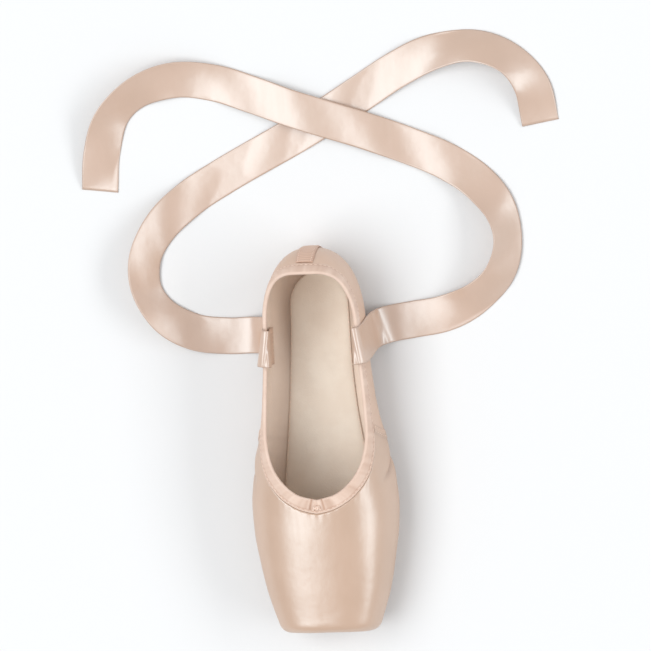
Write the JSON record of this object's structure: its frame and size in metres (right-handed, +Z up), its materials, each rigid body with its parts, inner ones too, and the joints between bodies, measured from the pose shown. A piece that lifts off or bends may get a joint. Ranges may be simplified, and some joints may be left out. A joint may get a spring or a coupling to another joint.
{
  "type": "pointe shoe",
  "caption": "Satin pointe shoe standing empty on its suede sole, with boxed toe, flat platform, drawstring casing, pleats under the toe and two loose ribbons.",
  "frame": {"origin": "on the floor, midway between the platform and the back of the heel, in the shoe's middle plane", "axes": "-Y to the toe, +Y to the heel, +Z up; the shoe is symmetric about the plane X = 0"},
  "size_m": [0.2898, 0.3563, 0.0631],
  "materials": {
    "upper_satin": "glossy peach satin with lengthwise grain",
    "sole_suede": "taupe suede with a fine scored crosshatch",
    "insole_cotton": "matt cream cotton",
    "casing_cotton": "matt pink cotton binding, slightly gathered",
    "drawstring_cord": "matt cotton cord",
    "strip_binding": "ribbed peach binding",
    "ribbon_satin": "glossy peach satin ribbon with woven selvedges"
  },
  "bodies": {
    "root": {"upper": "upper_satin", "outsole": "sole_suede", "insole": "insole_cotton", "drawstring_casing": "casing_cotton", "drawstring_knot": "drawstring_cord", "back_seam_strip": "strip_binding", "ribbon_left": "ribbon_satin", "ribbon_right": "ribbon_satin"}
  },
  "joints": []
}
